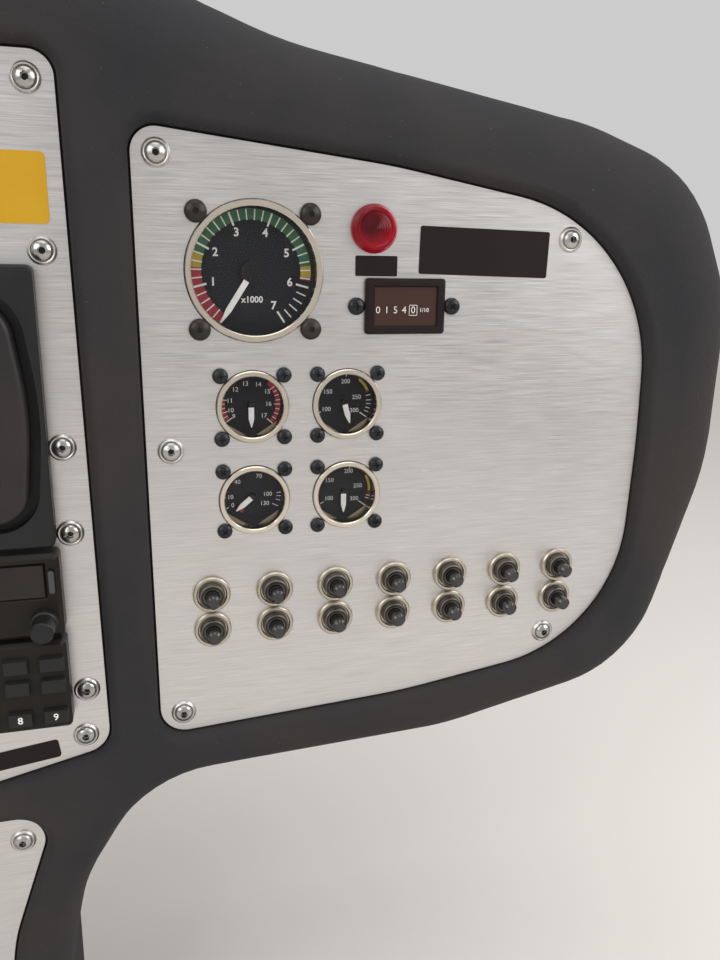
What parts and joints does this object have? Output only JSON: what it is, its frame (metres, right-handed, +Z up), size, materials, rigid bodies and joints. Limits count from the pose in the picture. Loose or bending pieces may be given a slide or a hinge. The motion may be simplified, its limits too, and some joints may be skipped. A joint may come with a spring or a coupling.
{
  "type": "light sport aircraft instrument panel",
  "caption": "Mushroom-shaped instrument panel pod on a stem, with brushed plates, round gauges with turning needles, push-button breakers, radio stack and switches.",
  "frame": {"origin": "middle of the four bolt holes in the foot of the stem, on its underside", "axes": "+X to the right as seen from the seats, +Y forward away from the seats, +Z up"},
  "size_m": [0.8262, 0.2115, 0.598],
  "materials": {
    "moulding": "matt black moulding, fine grain",
    "brushed_plate": "brushed aluminium, grain across",
    "black_plastic": "satin black plastic",
    "dark_grey_plastic": "satin dark grey plastic",
    "black_paint": "satin black paint on metal",
    "nickel": "bright nickel plate",
    "red_lens": "glossy clear red plastic",
    "counter": "black number drums",
    "screen": "dark display glass",
    "clear_glass": "clear glass",
    "dial_black": "matt black dial",
    "needle_white": "matt white pointer"
  },
  "bodies": {
    "panel": {"dash_shell": "moulding", "right_plate": "brushed_plate", "left_plate": "brushed_plate", "centre_plate": "brushed_plate", "stem_plate": "brushed_plate", "breaker_bodies": "black_plastic", "breaker_nuts": "nickel", "breaker_buttons": "black_plastic", "warning_lamp_body": "black_plastic", "warning_lamp_lens": "red_lens", "hour_meter_case": "black_plastic", "hour_meter_counter": "counter", "navigator_dock": "black_plastic", "navigator": "dark_grey_plastic", "navigator_screen": "screen", "radio": "black_paint", "radio_knobs": "black_plastic", "transponder": "black_paint", "transponder_keys": "dark_grey_plastic", "toggle_bodies": "nickel", "toggle_levers": "nickel", "key_switch": "nickel", "pull_knobs": "black_plastic", "small_gauge_cases": "black_plastic", "small_gauge_rings": "nickel", "small_gauge_glasses": "clear_glass", "small_gauge_dials": "dial_black", "medium_gauge_cases": "black_plastic", "medium_gauge_rings": "nickel", "medium_gauge_glasses": "clear_glass", "medium_gauge_dials": "dial_black", "large_gauge_cases": "black_plastic", "large_gauge_rings": "black_paint", "large_gauge_glasses": "clear_glass", "large_gauge_dials": "dial_black"},
    "voltmeter_pointer": {"voltmeter_needle": "needle_white"},
    "cylinder_temperature_pointer": {"cylinder_temperature_needle": "needle_white"},
    "oil_pressure_pointer": {"oil_pressure_needle": "needle_white"},
    "oil_temperature_pointer": {"oil_temperature_needle": "needle_white"},
    "tachometer_pointer": {"tachometer_needle": "needle_white"},
    "vertical_speed_pointer": {"vertical_speed_needle": "needle_white"},
    "airspeed_pointer": {"airspeed_needle": "needle_white"},
    "altimeter_pointer": {"altimeter_needle": "needle_white"}
  },
  "joints": [
    {"name": "voltmeter_hinge", "type": "hinge", "parent": "panel", "child": "voltmeter_pointer", "pos_m": [0.16335, -0.05, 0.4128], "axis": [0, 1, 0], "range_deg": [0, 301]},
    {"name": "cylinder_temperature_hinge", "type": "hinge", "parent": "panel", "child": "cylinder_temperature_pointer", "pos_m": [0.2059, -0.05, 0.4128], "axis": [0, 1, 0], "range_deg": [0, 316]},
    {"name": "oil_pressure_hinge", "type": "hinge", "parent": "panel", "child": "oil_pressure_pointer", "pos_m": [0.16335, -0.05, 0.3705], "axis": [0, 1, 0], "range_deg": [0, 250]},
    {"name": "oil_temperature_hinge", "type": "hinge", "parent": "panel", "child": "oil_temperature_pointer", "pos_m": [0.2059, -0.05, 0.3705], "axis": [0, 1, 0], "range_deg": [0, 301]},
    {"name": "tachometer_hinge", "type": "hinge", "parent": "panel", "child": "tachometer_pointer", "pos_m": [0.1654, -0.05, 0.47], "axis": [0, 1, 0], "range_deg": [0, 294]},
    {"name": "vertical_speed_hinge", "type": "hinge", "parent": "panel", "child": "vertical_speed_pointer", "pos_m": [-0.1654, -0.05, 0.384], "axis": [0, 1, 0], "range_deg": [-150, 150]},
    {"name": "airspeed_hinge", "type": "hinge", "parent": "panel", "child": "airspeed_pointer", "pos_m": [-0.188, -0.05, 0.456], "axis": [0, 1, 0], "range_deg": [0, 330]},
    {"name": "altimeter_hinge", "type": "hinge", "parent": "panel", "child": "altimeter_pointer", "pos_m": [-0.274, -0.05, 0.436], "axis": [0, 1, 0], "continuous": true}
  ]
}
